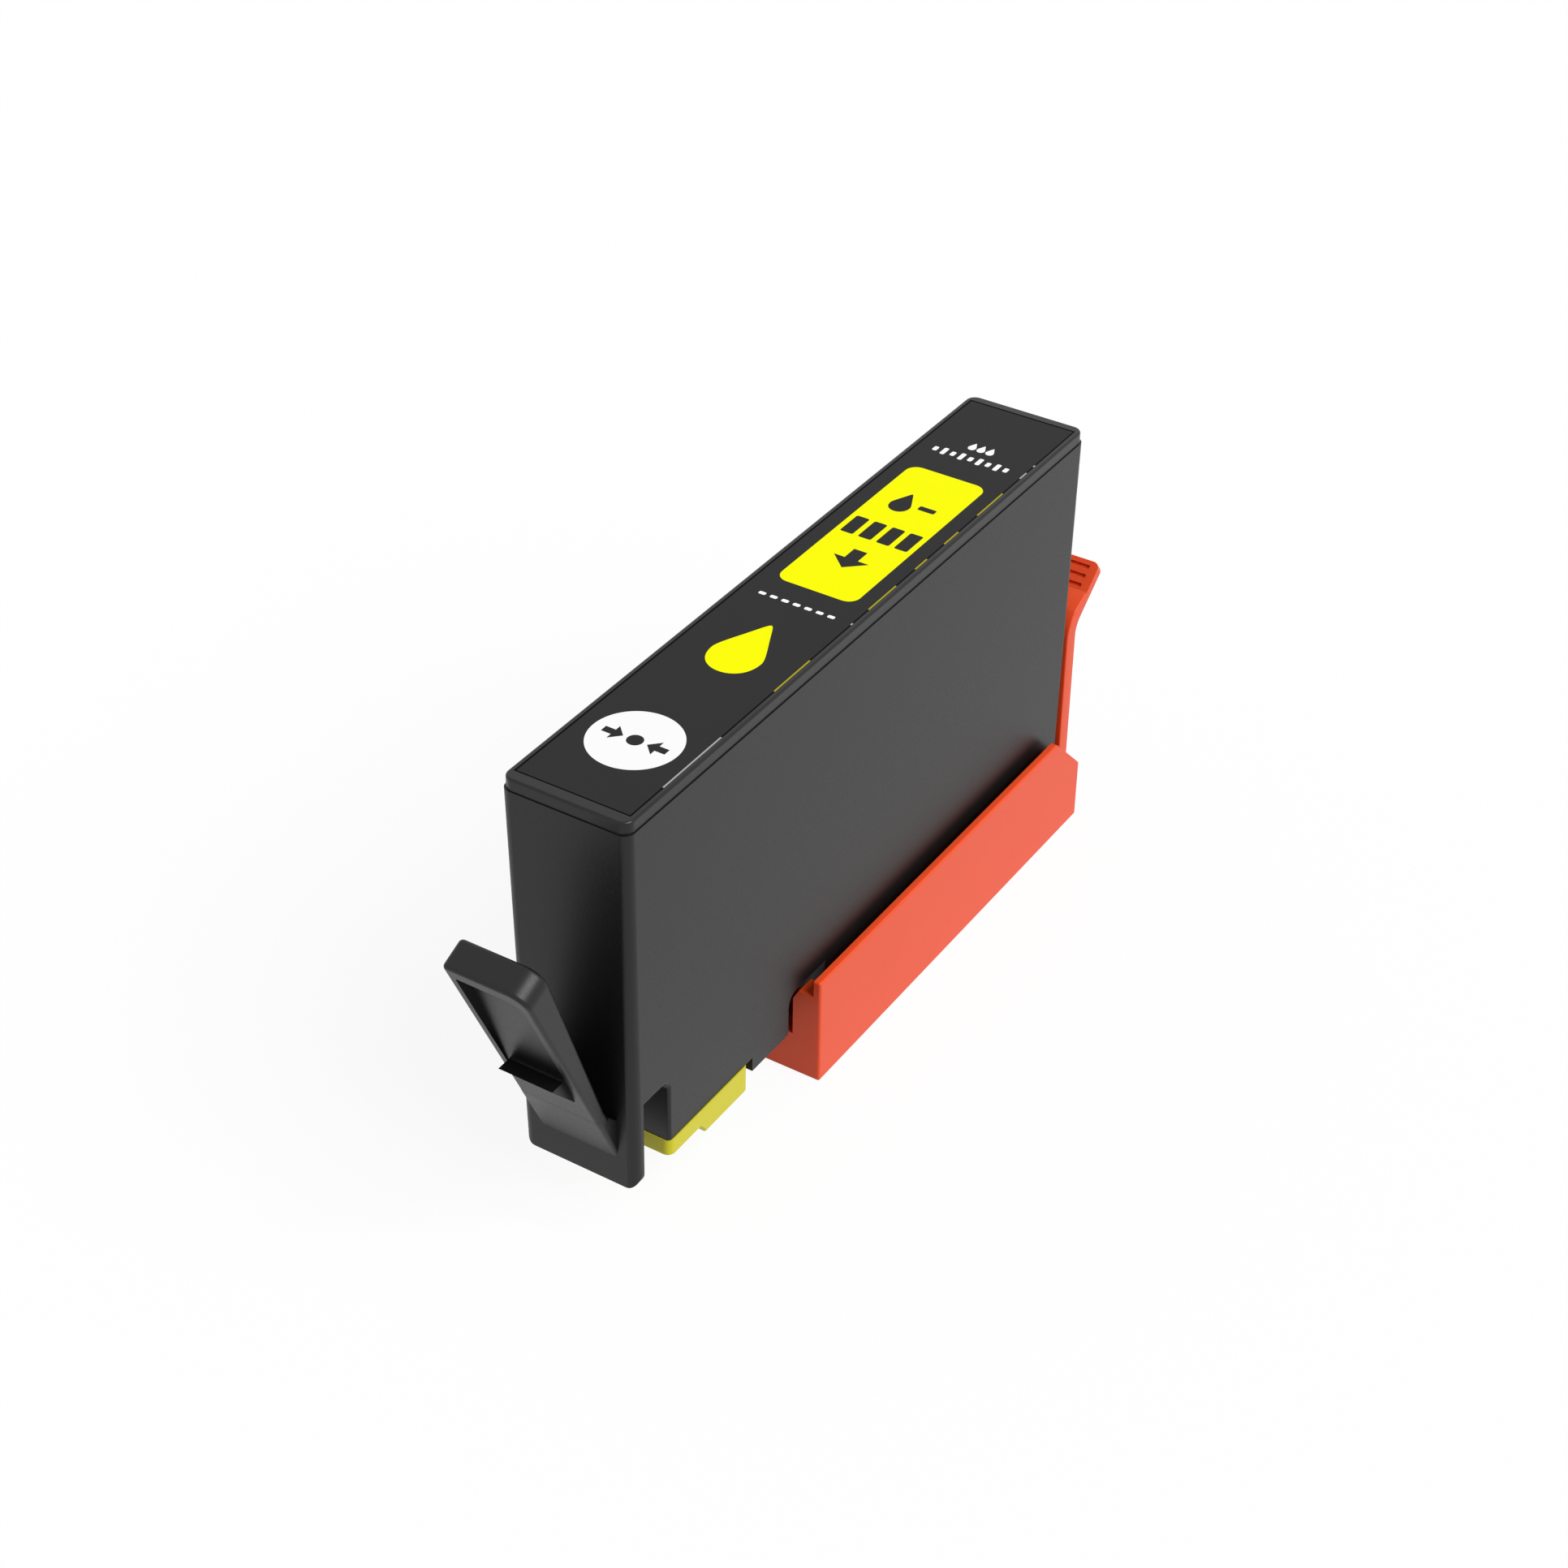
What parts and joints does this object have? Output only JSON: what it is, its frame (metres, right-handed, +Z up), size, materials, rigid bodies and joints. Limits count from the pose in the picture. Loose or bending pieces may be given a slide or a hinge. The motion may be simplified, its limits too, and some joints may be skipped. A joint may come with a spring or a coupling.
{
  "type": "inkjet ink cartridge",
  "caption": "Slim inkjet ink cartridge: black tank with a labelled lid, sprung latch lever in front, yellow colour key plate and chip below, orange pull-off transport cap.",
  "frame": {"origin": "centre of the overall box in plan, on the surface that the transport cap stands on", "axes": "+Z up, +Y along the cartridge from the latch lever to the pull strap, +X across the width"},
  "size_m": [0.0196, 0.1194, 0.0584],
  "materials": {
    "black_moulding": "moulded, fine spark texture",
    "lid_moulding": "moulded, smooth satin",
    "label_film": "printed film, satin",
    "plug_moulding": "moulded, smooth",
    "foam": "open-cell foam soaked with ink",
    "felt": "pressed felt",
    "steel_mesh": "fine woven wire",
    "yellow_moulding": "moulded, fine texture",
    "circuit_board": "solder mask",
    "gold_plate": "gold flash",
    "resin": "cast drop",
    "orange_moulding": "moulded, smooth satin",
    "silicone": "soft, matt"
  },
  "bodies": {
    "tank": {"tank_shell": "black_moulding", "tank_lid": "lid_moulding", "top_label": "label_film", "fill_plug": "plug_moulding", "ink_foam": "foam", "outlet_wick": "felt", "outlet_screen": "steel_mesh", "colour_key_plate": "yellow_moulding", "chip_board": "circuit_board", "chip_contacts": "gold_plate", "chip_encapsulant": "resin"},
    "lever": {"latch_lever": "black_moulding"},
    "cap": {"transport_cap": "orange_moulding", "outlet_seal": "silicone"}
  },
  "joints": [
    {"name": "lever_flex", "type": "hinge", "parent": "tank", "child": "lever", "pos_m": [0, -0.0474, 0.01906], "axis": [-1, 0, 0], "range_deg": [0, 20], "stiffness_Nm_per_rad": 0.1},
    {"name": "cap_pull", "type": "slide", "parent": "tank", "child": "cap", "axis": [0, 0, -1], "range_m": [0, 0.03]}
  ]
}
